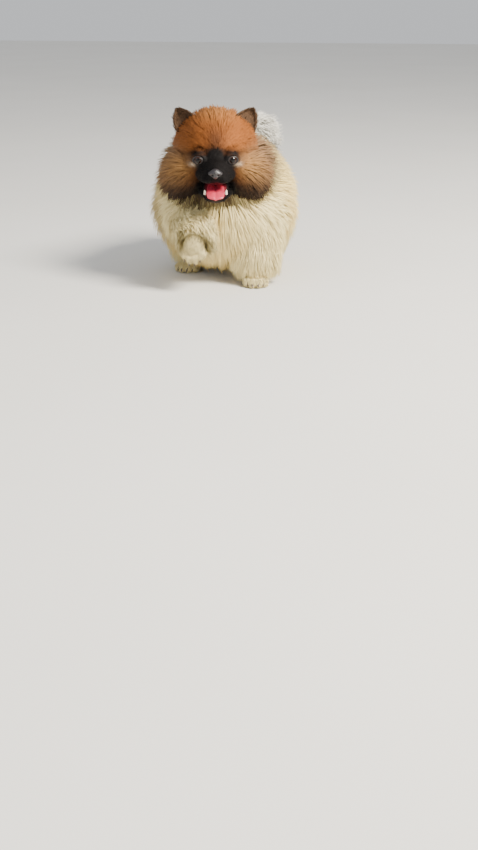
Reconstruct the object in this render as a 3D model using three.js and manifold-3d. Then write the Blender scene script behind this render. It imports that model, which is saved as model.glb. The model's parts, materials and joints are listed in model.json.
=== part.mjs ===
// A pomeranian puppy, life size, in mid-stride with its right foreleg lifted, its mouth open and its
// plume of a tail curled over the back. Millimetres, +Z up; it faces -Y and its left side is +X.
// The double coat is flat, tapered locks that overlap along its lie, over a core that stays well
// under their tips.
import * as THREE from "three";
import { mergeVertices } from "three/addons/utils/BufferGeometryUtils.js";
import Module from "manifold-3d";

const wasm = await Module();
wasm.setup();
const { Manifold, Mesh } = wasm;

// Driving dimensions. An egg has a centre, radii and a pear share by which it is wider below.
const GAP = 0.45; // between neighbouring pieces
const TRUNK = { centre: [-5, 17, 95], radii: [65, 78, 61], pear: 0.2, tilt: 0 };
const TRUNK_LOCK = { length: 49, width: 54, thickness: 12 };
const NECK = { centre: [-5, -31, 134], radii: [49, 34, 43], pear: 0, tilt: 30 };
const NECK_LOCK = { length: 40, width: 46, thickness: 9 };

// The head, in its own frame: the eyes are level with its origin, which is between the ears and jaw
const HEAD_AT = [-3, -66, 163];
const HEAD_TURN = 10; // degrees, towards the puppy's left
const CRANIUM = { centre: [0, 5, 3], radii: [41, 40, 38], pear: 0.1, tilt: 20 };
const CROWN_LOCK = { length: 25, width: 31, thickness: 7 };
const FACE = { centre: [0, -7, -9], radii: [36, 28, 25], pear: 0.1 };
const CHEEK = { centre: [24, -4, -20], radii: [24, 24, 25], pear: 0, tilt: 30 };
const CHEEK_LOCK = { length: 33, width: 33, thickness: 8 };
const MUZZLE = [
  { centre: [0, -28, -17], radii: [23, 22, 15], pear: 0.25 },
  { centre: [0, -43, -18], radii: [16.5, 16.5, 11], pear: 0.2 },
  { centre: [0, -52, -16.5], radii: [9, 8, 8], pear: 0.1 },
];
const FLEW = { centre: [8.5, -47.5, -23], radii: [9, 11, 6.5], pear: 0 };
const BROW = { centre: [16.5, -25.5, 6], radii: [10, 7.5, 5], pear: 0 };
const EYE = { centre: [19.3, -26.4, -4], radius: 7.2, gaze: 16 };
const LID = { ahead: 4.6, radius: 6.5, thickness: 2.1, height: 0.82 };
const NOSE = { centre: [0, -58.5, -15.5], radii: [7.4, 5.2, 5.4], pear: -0.25 };
const NOSTRIL = { centre: [3.5, -63.2, -15.8], radii: [1.8, 2.6, 1.3], pear: 0 };
const EAR = { base: [31, 9, 25], radii: [15.5, 7, 18], lean: 32, turn: 20, cup: 4.6, wall: 2.2 };
const EAR_TAPER = 0.45;
const JAW = {
  joints: [[0, -6, -34], [0, -30, -39.5], [0, -51, -45.5]],
  radii: [17.5, 16.5, 12.5],
  flat: 0.42,
};
const TONGUE = {
  joints: [[0, -14, -30.5], [0, -34, -34.8], [0, -50, -39], [0, -60.5, -44]],
  radii: [8, 10, 11, 9.5],
  flat: 0.2,
};
const TOOTH = { at: [12.4, -45, -38.6], radius: 1.5, height: 6 };

// Joints of each leg from the trunk down to the wrist or hock, with the leg's radius at each, and its
// paw: where its sole's middle is, how far its toes point down and out, and the joints of its pastern
const LEG_LOCK = { length: 29, width: 30, thickness: 8, lift: 0.34 };
const LEGS = {
  left_fore: {
    joints: [[32, -20, 88], [38, -22, 66], [41, -31, 41], [43, -39, 20]],
    radii: [26, 26, 24, 18],
    paw: { at: [44, -48, 0], down: 0, out: 6 },
  },
  right_fore: {
    joints: [[-36, -26, 92], [-38, -43, 82], [-33, -61, 76], [-27, -78, 73]],
    radii: [24, 22, 19, 16],
    paw: { at: [-23, -93, 54], down: 52, out: 6 },
  },
  left_hind: {
    joints: [[30, 54, 84], [36, 58, 64], [37, 69, 43], [35, 79, 24]],
    radii: [28, 29, 25, 17],
    paw: { at: [36, 66, 0], down: 0, out: 5 },
  },
  right_hind: {
    joints: [[-40, 44, 86], [-48, 42, 65], [-52, 38, 43], [-53, 31, 24]],
    radii: [28, 29, 25, 17],
    paw: { at: [-54, 15, 0], down: 0, out: 5 },
  },
};
const PAW = { back: [12.5, 14, 12], toes: [[-9.5, -9], [-3.6, -13.5], [3.6, -13.5], [9.5, -9]] };
const TOE = { radii: [5.4, 8, 6], claw: { radius: 1.5, height: 6.5 } };
const PASTERN_RADII = [12.5, 11];

const TAIL = {
  joints: [[-2, 80, 122], [2, 101, 140], [11, 99, 158], [25, 83, 166], [36, 63, 162]],
  radii: [19, 17, 15, 13, 9],
};
const ROOT_LOCK = { length: 34, width: 24, thickness: 8, lift: 0.45 };
const PLUME_LOCK = { length: 38, width: 26, thickness: 8, lift: 0.5 };

const DEG = Math.PI / 180;
const LEFT = new THREE.Vector3(1, 0, 0);
const BACK = new THREE.Vector3(0, 1, 0);
const DOWN = new THREE.Vector3(0, 0, -1);
const vec = (p) => new THREE.Vector3(...p);
const lerp = THREE.MathUtils.lerp;
const atShare = (values, share) => {
  const at = share * (values.length - 1);
  const k = Math.min(Math.floor(at), values.length - 2);
  return lerp(values[k], values[k + 1], at - k);
};

// Repeatable variation: vary(share) is 1, more or less by up to that share
function variation(seed) {
  let state = seed;
  return (share) => {
    state = (state + 0x6d2b79f5) | 0;
    let t = Math.imul(state ^ (state >>> 15), 1 | state);
    t = (t + Math.imul(t ^ (t >>> 7), 61 | t)) ^ t;
    return 1 + share * (((t ^ (t >>> 14)) >>> 0) / 2147483648 - 1);
  };
}

// The frame that pieces are built in: the puppy's own, or the head's, which is turned
const headFrame = new THREE.Matrix4().makeRotationZ(HEAD_TURN * DEG).setPosition(vec(HEAD_AT));
let frame = new THREE.Matrix4();

// A geometry as a closed solid with its faces turned outwards, once place has moved its vertices
function solidOf(geometry, place = (v) => v) {
  const position = geometry.attributes.position;
  for (let i = 0; i < position.count; i++) {
    const p = place(new THREE.Vector3().fromBufferAttribute(position, i)).applyMatrix4(frame);
    position.setXYZ(i, p.x, p.y, p.z);
  }
  geometry.deleteAttribute("normal");
  geometry.deleteAttribute("uv");
  const merged = mergeVertices(geometry, 1e-4);
  const vertProperties = merged.attributes.position.array;
  const triVerts = new Uint32Array(merged.index.array);
  const made = new Manifold(new Mesh({ numProp: 3, vertProperties, triVerts }));
  if (made.volume() >= 0) return made;
  for (let i = 0; i < triVerts.length; i += 3)
    [triVerts[i + 1], triVerts[i + 2]] = [triVerts[i + 2], triVerts[i + 1]];
  return new Manifold(new Mesh({ numProp: 3, vertProperties, triVerts }));
}

// Some pieces joined into one body, less the cutters
function fuse(pieces, cutters = []) {
  const bodies = Manifold.difference([Manifold.union(pieces), ...cutters]).decompose();
  return bodies.reduce((a, b) => (b.volume() > a.volume() ? b : a));
}

// A point of an egg, grown a little all round, in the direction d from its centre
function eggPoint(egg, d, grow = 0) {
  const wide = 1 - egg.pear * d.z;
  return new THREE.Vector3(
    egg.centre[0] + (egg.radii[0] + grow) * d.x * wide,
    egg.centre[1] + (egg.radii[1] + grow) * d.y,
    egg.centre[2] + (egg.radii[2] + grow) * d.z,
  );
}
const eggSolid = (egg, around, along, grow = 0) =>
  solidOf(new THREE.SphereGeometry(1, around, along), (v) => eggPoint(egg, v, grow));
const mirrored = (egg) => ({ ...egg, centre: [-egg.centre[0], egg.centre[1], egg.centre[2]] });
const both = (egg, around, along, grow = 0) => [
  eggSolid(egg, around, along, grow),
  eggSolid(mirrored(egg), around, along, grow),
];

// A direction from an egg's centre: away is the angle from its nose end, which faces -Y and is tilted
// up, and turn goes round from the top towards +X
function direction(egg, away, turn) {
  const d = new THREE.Vector3(
    Math.sin(away) * Math.sin(turn),
    -Math.cos(away),
    Math.sin(away) * Math.cos(turn),
  );
  return d.applyAxisAngle(LEFT, -egg.tilt * DEG);
}

// The middle line of a lock, from its root at t = 0 to its tip: it stands up from the skin by its
// lift and bends over along the flow by its reach
const LIFT = 0.56;
const REACH = 0.8;
const lockLine = ({ root, normal, flow, lift = LIFT }, length, t) =>
  root
    .clone()
    .addScaledVector(normal, length * lift * (2 * t - t * t))
    .addScaledVector(flow, length * REACH * t * (0.4 + 0.6 * t));

// One lock: flat beneath with a low ridge on top, widest a third of the way out, pointed at the tip
const LOCK_SIDES = 3;
const LOCK_ROWS = 3;
const SINK = 8;
// A grown lock widens more at its thin edges than at its ridge, so that all its faces move outwards
const EDGE_GROWTH = 7;
const RIDGE_GROWTH = 2.2;
const leaf = (t) => (1 - t ** 2.2) * (0.8 + 0.6 * t);
function lock(rooted, { length, width, thickness }, grow = 0) {
  const side = new THREE.Vector3().crossVectors(rooted.normal, rooted.flow);
  return solidOf(new THREE.ConeGeometry(1, 1, LOCK_SIDES, LOCK_ROWS), (v) => {
    const t = v.y + 0.5;
    const round = Math.max(1 - t, 1e-6);
    const at = lockLine(rooted, length, t);
    const bend = Math.max(t, 0.33);
    const run = lockLine(rooted, length, bend + 0.04).sub(lockLine(rooted, length, bend));
    const up = run.cross(side).normalize();
    if (t < 0.01) at.addScaledVector(rooted.normal, -SINK);
    if (t > 0.99) at.addScaledVector(at.clone().sub(lockLine(rooted, length, 0.67)).normalize(), 4 * grow);
    at.addScaledVector(side, (v.x / round) * (0.56 * width + EDGE_GROWTH * grow) * leaf(t));
    return at.addScaledVector(up, (v.z / round) * (0.6 * thickness + RIDGE_GROWTH * grow) * (1 - t * t));
  });
}

// Rows of locks on an egg between two angles from its nose end, set half a lock on from row to row.
// Each lies along lie(d), is scaled by size(point) and is left out where that is 0.
function coat(egg, own, { from, to, rows, seed, lie, size = () => 1 }, grow = 0) {
  const vary = variation(seed);
  const locks = [];
  for (let row = 0; row < rows; row++) {
    const away = lerp(from, to, (row + 0.5) / rows) * DEG;
    const girth = Math.PI * Math.sin(away) * (egg.radii[0] + egg.radii[2]);
    const count = Math.max(3, Math.round(girth / (own.width * 0.84)));
    for (let i = 0; i < count; i++) {
      const turn = ((i + 0.5 * (row % 2)) / count) * 2 * Math.PI;
      const d = direction(egg, away * vary(0.03), turn + (0.7 * (vary(0.5) - 1)) / count);
      const [long, wide, thick] = [vary(0.12), vary(0.1), vary(0.1)];
      const root = eggPoint(egg, d);
      const scale = size(root, d);
      if (scale === 0) continue;
      const [rx, ry, rz] = egg.radii;
      const normal = new THREE.Vector3(d.x / rx, d.y / ry, d.z / rz).normalize();
      const flow = lie(d).projectOnPlane(normal).normalize();
      const length = own.length * long * scale;
      const width = own.width * wide;
      locks.push(lock({ root, normal, flow }, { length, width, thickness: own.thickness * thick }, grow));
    }
  }
  return locks;
}

// A limb along a curve through its joints, as high as flat times its width
function limb({ joints, radii, flat = 1 }, sides, steps, grow = 0) {
  const curve = new THREE.CatmullRomCurve3(joints.map(vec));
  return solidOf(new THREE.CylinderGeometry(1, 1, 1, sides, steps), (v) => {
    const share = 0.5 - v.y;
    const tangent = curve.getTangent(share);
    const across = LEFT.clone().projectOnPlane(tangent).normalize();
    const up = new THREE.Vector3().crossVectors(across, tangent);
    const radius = atShare(radii, share);
    const end = share < 0.01 ? -grow : share > 0.99 ? grow : 0;
    return curve
      .getPoint(share)
      .addScaledVector(tangent, end)
      .addScaledVector(across, v.x * (radius + grow))
      .addScaledVector(up, v.z * (radius * flat + grow));
  });
}

// Locks in rings round a limb, at shares of its length, on the sides that side(normal) scales above 0
function fringe(shape, own, { shares, count, seed, side = () => 1 }, grow = 0) {
  const vary = variation(seed);
  const curve = new THREE.CatmullRomCurve3(shape.joints.map(vec));
  const locks = [];
  shares.forEach((share, row) => {
    const tangent = curve.getTangent(share);
    const across = LEFT.clone().projectOnPlane(tangent).normalize();
    const radius = atShare(shape.radii, share);
    for (let i = 0; i < count; i++) {
      const normal = across.clone().applyAxisAngle(tangent, ((i + 0.5 * (row % 2)) / count) * 2 * Math.PI);
      const length = own.length * vary(0.14) * side(normal, share);
      const width = own.width * vary(0.1);
      if (length === 0) continue;
      const root = curve.getPoint(share).addScaledVector(normal, radius - 1);
      const rooted = { root, normal, flow: tangent, lift: own.lift };
      locks.push(lock(rooted, { length, width, thickness: own.thickness }, grow));
    }
  });
  return locks;
}

// How the coat lies: back and down over the trunk, away from the face round the neck and the head
const trunkLie = (d) => BACK.clone().addScaledVector(DOWN, d.z < 0 ? 0.7 - 2.4 * d.z : 0.7);
const neckLie = (d) => BACK.clone().addScaledVector(DOWN, 0.7 - 0.4 * d.z);
const crownLie = () => BACK.clone().addScaledVector(DOWN, 0.15);
const cheekLie = (d) => new THREE.Vector3(Math.sign(d.x) * 0.5, 0.8, -0.7);

// The torso
const torsoPieces = [
  eggSolid(TRUNK, 18, 12),
  ...coat(TRUNK, TRUNK_LOCK, {
    from: 20,
    to: 170,
    rows: 5,
    seed: 11,
    lie: trunkLie,
    size: (p) => (p.z < 45 || (p.y < -20 && p.z > 124) ? 0 : p.z < 67 ? 0.85 : 1),
  }),
];

// The neck and its ruff
const neckPieces = (grow) => [
  eggSolid(NECK, 16, 10, grow),
  ...coat(
    NECK,
    NECK_LOCK,
    { from: 52, to: 112, rows: 3, seed: 6, lie: neckLie, size: (p) => (p.y > 2 ? 0 : 1) },
    grow,
  ),
];

// The legs, each with a fringe of short locks, and the paws, each with four toes and claws
function legPieces(leg, grow) {
  const side = (normal, share) => (normal.y > -0.4 ? 1 : 0.6);
  return [
    limb(leg, 8, 5, grow),
    ...fringe(leg, LEG_LOCK, { shares: [0.4, 0.74], count: 4, seed: 21, side }, grow),
  ];
}
function pawPieces({ joints, radii, paw }, grow) {
  const place = new THREE.Matrix4().makeRotationX(paw.down * DEG);
  const whole = new THREE.Matrix4().makeRotationZ(paw.out * Math.sign(paw.at[0]) * DEG);
  whole.multiply(place).setPosition(vec(paw.at));
  const at = (x, y, z) => new THREE.Vector3(x, y, z).applyMatrix4(whole);
  const pieces = [];
  const wrist = vec(joints.at(-1));
  const heel = at(0, 2, 11);
  const ankle = wrist.clone().lerp(heel, 0.5);
  const pastern = [wrist, ankle, heel].map((p) => p.toArray());
  pieces.push(limb({ joints: pastern, radii: [radii.at(-1) - 0.5, ...PASTERN_RADII] }, 7, 2, grow));
  const shape = (radii, x, y, z) => {
    const [rx, ry, rz] = radii.map((r) => r + grow);
    return solidOf(new THREE.SphereGeometry(1, 6, 4), (v) =>
      at(x + v.x * rx, y + v.y * ry, Math.max(z + v.z * rz, -grow)),
    );
  };
  pieces.push(shape(PAW.back, 0, 0, 9.5));
  for (const [x, y] of PAW.toes) {
    pieces.push(shape(TOE.radii, x, y, 5));
    const { radius, height } = TOE.claw;
    const tilt = new THREE.Matrix4().makeRotationX(110 * DEG).setPosition(x, y - 8, 5);
    pieces.push(
      solidOf(new THREE.ConeGeometry(radius + grow, height + grow, 3), (v) =>
        v.applyMatrix4(tilt).applyMatrix4(whole),
      ),
    );
  }
  return pieces;
}

// The tail's root and its plume
const tailRoot = { joints: TAIL.joints.slice(0, 3), radii: TAIL.radii.slice(0, 3) };
const tailPlume = { joints: TAIL.joints.slice(2), radii: TAIL.radii.slice(2) };
const upper = (normal) => (normal.z > -0.5 ? 1 : 0);
const tailRootPieces = (grow) => [
  limb(tailRoot, 8, 4, grow),
  ...fringe(tailRoot, ROOT_LOCK, { shares: [0.45, 0.8], count: 5, seed: 5 }, grow),
];
const tailPlumePieces = (grow) => [
  limb(tailPlume, 8, 4, grow),
  ...fringe(tailPlume, PLUME_LOCK, { shares: [0.2, 0.6, 0.97], count: 5, seed: 9, side: upper }, grow),
];

// The head and what is set in it, in the head's frame
frame = headFrame;
function eyeSolid(side, grow) {
  const [x, y, z] = EYE.centre;
  return eggSolid({ centre: [side * x, y, z], radii: Array(3).fill(EYE.radius), pear: 0 }, 10, 7, grow);
}
function lid(side) {
  const set = new THREE.Matrix4().makeRotationZ(side * EYE.gaze * DEG);
  set.setPosition(side * EYE.centre[0], EYE.centre[1], EYE.centre[2]);
  return solidOf(new THREE.TorusGeometry(LID.radius, LID.thickness, 5, 12), (v) =>
    new THREE.Vector3(v.x, -LID.ahead - v.z, v.y * LID.height).applyMatrix4(set),
  );
}
function earSolid(side, grow, hollow) {
  const lean = new THREE.Matrix4().makeRotationY(side * EAR.lean * DEG);
  const set = new THREE.Matrix4().makeRotationZ(side * EAR.turn * DEG).multiply(lean);
  set.setPosition(side * EAR.base[0], EAR.base[1], EAR.base[2]);
  const [rx, ry, rz] = EAR.radii.map((r) => r + grow - (hollow ? EAR.wall : 0));
  return solidOf(new THREE.SphereGeometry(1, 10, 6), (v) => {
    const up = (v.z + 1) / 2;
    const narrow = 1 - EAR_TAPER * up * up;
    const y = v.y * ry - (hollow ? EAR.cup : 0);
    return new THREE.Vector3(v.x * rx * narrow, y, rz * (v.z + 0.55)).applyMatrix4(set);
  });
}
const nosePieces = (grow) => [eggSolid(NOSE, 12, 8, grow)];
const jawPieces = (grow) => [
  limb(JAW, 10, 5, grow),
  eggSolid({ centre: JAW.joints.at(-1), radii: [12, 7, 5], pear: 0 }, 10, 6, grow),
];
const tonguePieces = (grow) => [
  limb(TONGUE, 8, 6, grow),
  eggSolid({ centre: TONGUE.joints.at(-1), radii: [10, 4, 2], pear: 0 }, 8, 6, grow),
];
const tooth = (side, grow) =>
  solidOf(new THREE.ConeGeometry(TOOTH.radius + grow, TOOTH.height + 2 * grow, 6), (v) =>
    new THREE.Vector3(side * TOOTH.at[0] + v.x, TOOTH.at[1] + v.z, TOOTH.at[2] + v.y),
  );
const headPieces = (grow) => [
  eggSolid(CRANIUM, 14, 9, grow),
  eggSolid(FACE, 14, 9, grow),
  ...both(CHEEK, 10, 7, grow),
  ...MUZZLE.map((m) => eggSolid(m, 12, 8, grow)),
  ...both(FLEW, 9, 6, grow),
  ...both(BROW, 9, 6, grow),
  ...coat(
    CRANIUM,
    CROWN_LOCK,
    { from: 58, to: 122, rows: 4, seed: 7, lie: crownLie, size: (p) => (p.z < 2 ? 0 : 1) },
    grow,
  ),
  ...[CHEEK, mirrored(CHEEK)].flatMap((cheek, i) => {
    const size = (p, d) => (d.x * cheek.centre[0] < -0.1 || d.z > 0.6 ? 0 : 1);
    const rows = { from: 55, to: 125, rows: 3, seed: 8 + i, lie: cheekLie, size };
    return coat(cheek, CHEEK_LOCK, rows, grow);
  }),
];
const mouth = eggSolid({ centre: [0, -36, -36], radii: [14.5, 20, 8.5], pear: 0 }, 12, 7);
const nostrils = both(NOSTRIL, 7, 5);
const fat = {
  eyes: [eyeSolid(1, GAP), eyeSolid(-1, GAP)],
  nose: nosePieces(GAP),
  tongue: tonguePieces(GAP),
  teeth: [tooth(1, GAP), tooth(-1, GAP)],
  jaw: jawPieces(GAP),
  ears: [earSolid(1, GAP), earSolid(-1, GAP)],
  head: headPieces(GAP),
};
const made = {};
made.eye_left = eyeSolid(1, 0);
made.eye_right = eyeSolid(-1, 0);
made.nose = fuse(nosePieces(0), nostrils);
made.tongue = fuse(tonguePieces(0));
made.tooth_left = tooth(1, 0);
made.tooth_right = tooth(-1, 0);
made.jaw = fuse(jawPieces(0), [...fat.tongue, ...fat.teeth]);
made.ear_left = fuse([earSolid(1, 0)], [earSolid(1, 0, true)]);
made.ear_right = fuse([earSolid(-1, 0)], [earSolid(-1, 0, true)]);
made.head = fuse(
  [...headPieces(0), lid(1), lid(-1)],
  [...fat.eyes, ...fat.nose, ...fat.tongue, ...fat.teeth, ...fat.jaw, ...fat.ears, mouth],
);
frame = new THREE.Matrix4();

const headFat = [...Object.values(fat).flat(), ...Object.values(made)];
made.neck = fuse(neckPieces(0), headFat);
made.tail_plume = fuse(tailPlumePieces(0));
made.tail_root = fuse(tailRootPieces(0), [...tailPlumePieces(GAP), made.tail_plume]);
const limbFat = [];
for (const [name, leg] of Object.entries(LEGS)) {
  const pawFat = pawPieces(leg, GAP);
  made[name + "_paw"] = fuse(pawPieces(leg, 0));
  made[name + "_leg"] = fuse(legPieces(leg, 0), [...pawFat, ...headFat]);
  limbFat.push(...pawFat, ...legPieces(leg, GAP), made[name + "_paw"], made[name + "_leg"]);
}
made.neck = fuse([made.neck], limbFat);
const tailFat = [...tailPlumePieces(GAP), ...tailRootPieces(GAP)];
made.torso = fuse(torsoPieces, [...headFat, ...neckPieces(GAP), made.neck, ...tailFat, ...limbFat]);

const COLOURS = {
  tan: [0xb5764a, 0.9],
  cream: [0xe9dcc0, 0.9],
  white: [0xf1ece0, 0.9],
  mask: [0x2e2726, 0.8],
  sable: [0x6b5548, 0.9],
  leather: [0x141213, 0.4],
  eye: [0x1c0f0a, 0.08],
  tongue: [0xd8546c, 0.45],
  ivory: [0xe9e2cf, 0.3],
};
const SLOTS = {
  head: "tan",
  neck: "sable",
  tail_plume: "white",
  tail_root: "white",
  nose: "leather",
  jaw: "mask",
  tongue: "tongue",
  tooth_left: "ivory",
  tooth_right: "ivory",
  eye_left: "eye",
  eye_right: "eye",
  ear_left: "sable",
  ear_right: "sable",
};
const puppy = new THREE.Group();
for (const [name, solid] of Object.entries(made)) {
  const mesh = solid.getMesh();
  const geometry = new THREE.BufferGeometry()
    .setAttribute("position", new THREE.BufferAttribute(new Float32Array(mesh.vertProperties), 3))
    .setIndex(new THREE.BufferAttribute(new Uint32Array(mesh.triVerts), 1));
  geometry.computeVertexNormals();
  const [color, roughness] = COLOURS[SLOTS[name] ?? "cream"];
  const part = new THREE.Mesh(geometry, new THREE.MeshStandardMaterial({ color, roughness }));
  part.name = name;
  puppy.add(part);
}
// The origin is at the middle of the bounding box's floor
puppy.updateMatrixWorld(true);
const box = new THREE.Box3().setFromObject(puppy, true);
const middle = box.getCenter(new THREE.Vector3());
for (const part of puppy.children) part.geometry.translate(-middle.x, -middle.y, -box.min.z);
export default puppy;
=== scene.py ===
# %% [markdown]
# # A pomeranian puppy in mid-stride
#
# A young puppy is almost all coat: the body under it is small, and what one sees is the fur's outline, the
# colours laid over it, and a short-haired face in which the eyes, nose and tongue are set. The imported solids
# already give the size and the outline. This script lays one skin inside them, sets the eyes, nose, tongue,
# teeth, claws and ears in it, and grows a coat of thin solid tufts on it.
#
# All sizes are in millimetres in the puppy's own frame: it faces -Y, its left side is +X, and +Z is up.
# Blender works in metres, so mesh_object, further down, scales every point once and shifts it into place.

import json

import bpy
import numpy as np
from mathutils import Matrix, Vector

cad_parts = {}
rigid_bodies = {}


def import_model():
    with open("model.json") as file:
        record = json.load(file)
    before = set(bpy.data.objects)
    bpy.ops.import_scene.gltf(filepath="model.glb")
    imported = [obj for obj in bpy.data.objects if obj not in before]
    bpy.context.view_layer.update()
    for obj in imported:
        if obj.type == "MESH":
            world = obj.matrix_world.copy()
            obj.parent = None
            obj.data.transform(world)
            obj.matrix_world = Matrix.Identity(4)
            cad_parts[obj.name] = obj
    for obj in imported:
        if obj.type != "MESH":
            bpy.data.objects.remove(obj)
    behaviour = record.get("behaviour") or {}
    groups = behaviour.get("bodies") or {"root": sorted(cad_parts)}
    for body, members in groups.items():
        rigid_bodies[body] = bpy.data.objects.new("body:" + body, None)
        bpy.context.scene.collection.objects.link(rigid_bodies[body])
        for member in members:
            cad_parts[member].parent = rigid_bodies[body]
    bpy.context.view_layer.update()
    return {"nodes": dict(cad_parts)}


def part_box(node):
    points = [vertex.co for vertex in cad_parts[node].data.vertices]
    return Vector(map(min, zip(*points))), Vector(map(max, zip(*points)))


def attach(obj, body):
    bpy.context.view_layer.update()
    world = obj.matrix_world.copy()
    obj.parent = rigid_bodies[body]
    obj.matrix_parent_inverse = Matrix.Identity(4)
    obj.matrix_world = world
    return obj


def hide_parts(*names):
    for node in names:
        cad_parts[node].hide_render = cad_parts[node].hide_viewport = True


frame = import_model()
MM = 0.001
DEG = np.pi / 180
BOTH_SIDES = ((1, "left"), (-1, "right"))
rng = np.random.default_rng(7)
print("nodes:", ", ".join(sorted(frame["nodes"])))

# %% [markdown]
# ## Frames
#
# The puppy looks a little to its left. A face is easiest to shape where its two sides are mirror images, so
# the head has a frame of its own, and so has each paw. One could model the head straight and turn an object,
# but here every object stays at the origin, unturned, so the points themselves are turned instead. Each
# frame has its reverse too, because the markings ask where a point of the skin is on the face.

# %% Turning points, and the head's frame
HEAD_AT = np.array((-3.0, -66.0, 163.0))
HEAD_TURN = 10


def turned(points, degrees, axis=2):
    """points turned by the angle a about one axis: with i and j the other two in order, (i, j) becomes
    (i cos a - j sin a, i sin a + j cos a)"""
    points = np.asarray(points, float)
    i, j = (axis + 1) % 3, (axis + 2) % 3
    c, s = np.cos(degrees * DEG), np.sin(degrees * DEG)
    out = points.copy()
    out[..., i] = c * points[..., i] - s * points[..., j]
    out[..., j] = s * points[..., i] + c * points[..., j]
    return out


def from_head(points):
    """The head's frame to the puppy's: turn by HEAD_TURN, then add HEAD_AT"""
    return turned(points, HEAD_TURN) + HEAD_AT


def to_head(points):
    """The puppy's frame to the head's: take HEAD_AT away, then turn back"""
    return turned(np.asarray(points, float) - HEAD_AT, -HEAD_TURN)


print("a point 60 mm ahead in the head's frame is at", from_head((0, -60, 0)).round(1))

# %% The paws' frames
PAWS = {
    "left_fore": ((44, -48, 0), 0, 6),
    "right_fore": ((-23, -93, 54), 52, -6),
    "left_hind": ((36, 66, 0), 0, 5),
    "right_hind": ((-54, 15, 0), 0, -5),
}


def from_paw(points, name):
    """A paw's frame to the puppy's: tip its toes down, turn them out, add its place"""
    at, down, out = PAWS[name]
    return turned(turned(points, down, 0), out) + np.array(at, float)


def to_paw(points, name):
    """The puppy's frame to a paw's: the steps of from_paw undone in the reverse order"""
    at, down, out = PAWS[name]
    return turned(turned(np.asarray(points, float) - np.array(at, float), -out), -down, 0)


print("the lifted paw is", PAWS["right_fore"][0][2], "mm above the ground")

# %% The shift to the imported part
EYE_AT = np.array((19.3, -26.4, -4.0))
packed_eye = np.array(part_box("eye_left"), float)
SHIFT = packed_eye.mean(axis=0) - from_head(EYE_AT) * MM
print("shift to the packed part, in metres:", SHIFT.round(4))

# %% [markdown]
# ## Surfaces
#
# Every smooth form here is a grid of points: rows along it and columns round it. One could push vertices
# about by hand, but a formula of two parameters gives the same form every time, and numpy works out the
# whole grid at once. An egg's grid uses two angles. A limb's uses a curve through its joints, with a ring
# of points round each step.


# %% Grids
def grid_faces(rows, columns):
    """Quads (r, c), (r + 1, c), (r + 1, c + 1), (r, c + 1), where the last column is joined to the first.
    They face outwards where the columns run clockwise, as seen looking back from the last row."""
    r, c = np.meshgrid(np.arange(rows - 1), np.arange(columns), indexing="ij")
    n = (c + 1) % columns
    quads = np.stack([r * columns + c, (r + 1) * columns + c, (r + 1) * columns + n, r * columns + n], -1)
    return quads.reshape(-1, 4)


def sphere_grid(rows, columns):
    """Unit directions (sin v cos u, sin v sin u, cos v), with v from 0 to pi down the rows"""
    v, u = np.meshgrid(np.linspace(0, np.pi, rows), np.arange(columns) * 2 * np.pi / columns, indexing="ij")
    return np.stack([np.sin(v) * np.cos(u), np.sin(v) * np.sin(u), np.cos(v)], -1).reshape(-1, 3)


print("a sphere of 26 rows and 40 columns has", len(grid_faces(26, 40)), "quads")


# %% Eggs
def egg_surface(egg, less=0.0, rows=26, columns=40):
    """centre + (radii - less) * direction, with x made (1 - pear * z) times as wide. A pear above 0 makes
    it wider below than above."""
    centre, radii, pear = egg
    d = sphere_grid(rows, columns)
    widening = np.ones_like(d)
    widening[:, 0] = 1 - pear * d[:, 2]
    points = np.array(centre, float) + (np.array(radii, float) - less) * d * widening
    return points, grid_faces(rows, columns)


def mirrored(egg):
    """The same egg on the other side, at -x"""
    (x, y, z), radii, pear = egg
    return (-x, y, z), radii, pear


print("an egg's first point is its top:", egg_surface(((0, 0, 0), (1, 1, 2), 0))[0][0])

# %% Tubes
CAP_POWER = 14


def spline(points, steps):
    """A cubic curve through the points: at the share t of the run between p0 and p1, with the tangents m0
    and m1, (2t^3 - 3t^2 + 1) p0 + (t^3 - 2t^2 + t) m0 + (3t^2 - 2t^3) p1 + (t^3 - t^2) m1"""
    p = np.array(points, float)
    m = np.gradient(p, axis=0)
    at = np.linspace(0, len(p) - 1, steps)
    k = np.minimum(at.astype(int), len(p) - 2)
    t = (at - k)[:, None]
    return (
        (2 * t**3 - 3 * t**2 + 1) * p[k]
        + (t**3 - 2 * t**2 + t) * m[k]
        + (3 * t**2 - 2 * t**3) * p[k + 1]
        + (t**3 - t**2) * m[k + 1]
    )


def tube_surface(joints, radii, less=0.0, flat=1.0, steps=22, sides=22):
    """Rings round the spline: centre + r (cos u * across + flat * sin u * up), u round the ring. r is the
    radius less the depth, times sqrt(1 - |2s - 1|^CAP_POWER) at the share s, which closes both ends."""
    curve = spline(joints, steps)
    tangent = np.gradient(curve, axis=0)
    tangent /= np.linalg.norm(tangent, axis=1, keepdims=True)
    across = np.array((1.0, 0, 0)) - tangent * tangent[:, :1]
    across /= np.linalg.norm(across, axis=1, keepdims=True)
    up = np.cross(across, tangent)
    share = np.linspace(0, 1, steps)
    radius = np.interp(share, np.linspace(0, 1, len(radii)), radii) - less
    cap = np.sqrt(np.clip(1 - np.abs(2 * share - 1) ** CAP_POWER, 0, 1))
    u = np.arange(sides) * 2 * np.pi / sides
    ring = np.cos(u)[None, :, None] * across[:, None] + flat * np.sin(u)[None, :, None] * up[:, None]
    points = curve[:, None] + (radius * cap)[:, None, None] * ring
    return points.reshape(-1, 3), grid_faces(steps, sides)


print("a spline passes its middle joint:", spline([(0, 0, 0), (1, 2, 0), (2, 0, 0)], 3)[1])


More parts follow.
